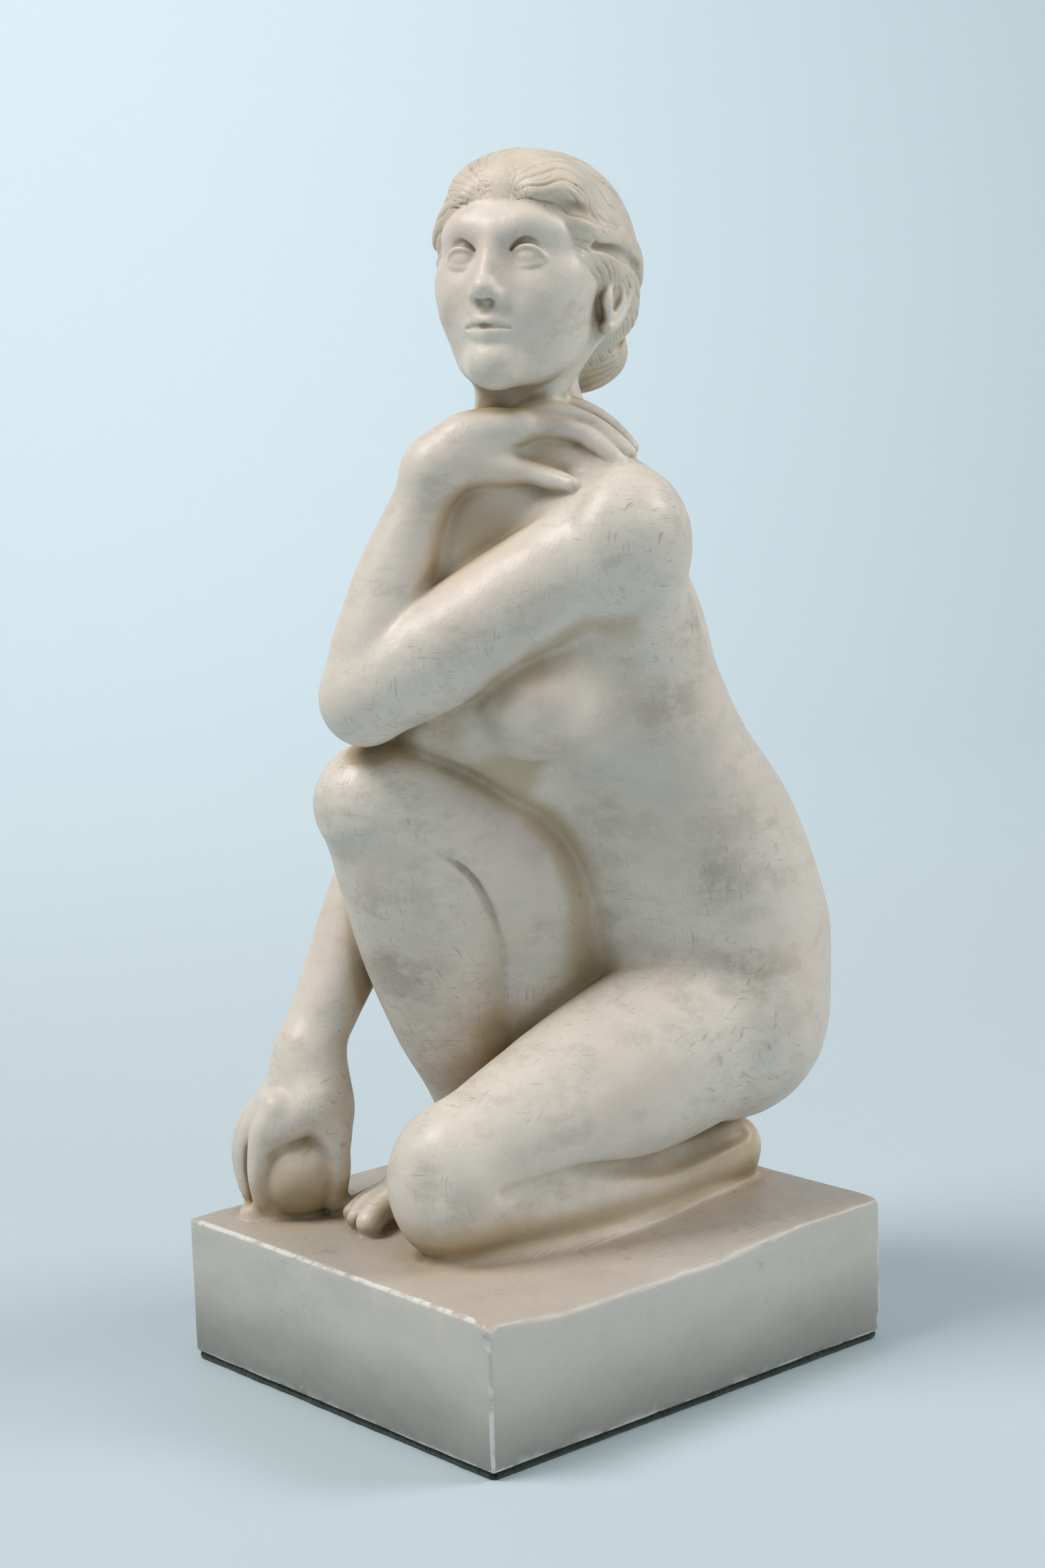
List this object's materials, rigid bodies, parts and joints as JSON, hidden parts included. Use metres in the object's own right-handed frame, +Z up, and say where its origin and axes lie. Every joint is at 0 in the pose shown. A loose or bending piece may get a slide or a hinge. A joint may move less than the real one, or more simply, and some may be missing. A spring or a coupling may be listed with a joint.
{
  "type": "alabaster sculpture",
  "caption": "Kneeling nude woman in veined cream alabaster, one knee raised, chin over her hand, on a rectangular plinth with a felt pad.",
  "frame": {"origin": "centre of the felt pad's underside, in the middle of the rectangular plinth", "axes": "+Z up; the figure's lower legs point along -Y, which is the plinth's short front face; the figure's left side is +X"},
  "size_m": [0.164, 0.1999, 0.4246],
  "materials": {
    "alabaster": "satin",
    "felt": "matte"
  },
  "bodies": {
    "root": {"alabaster_figure": "alabaster", "felt_pad": "felt"}
  },
  "joints": []
}
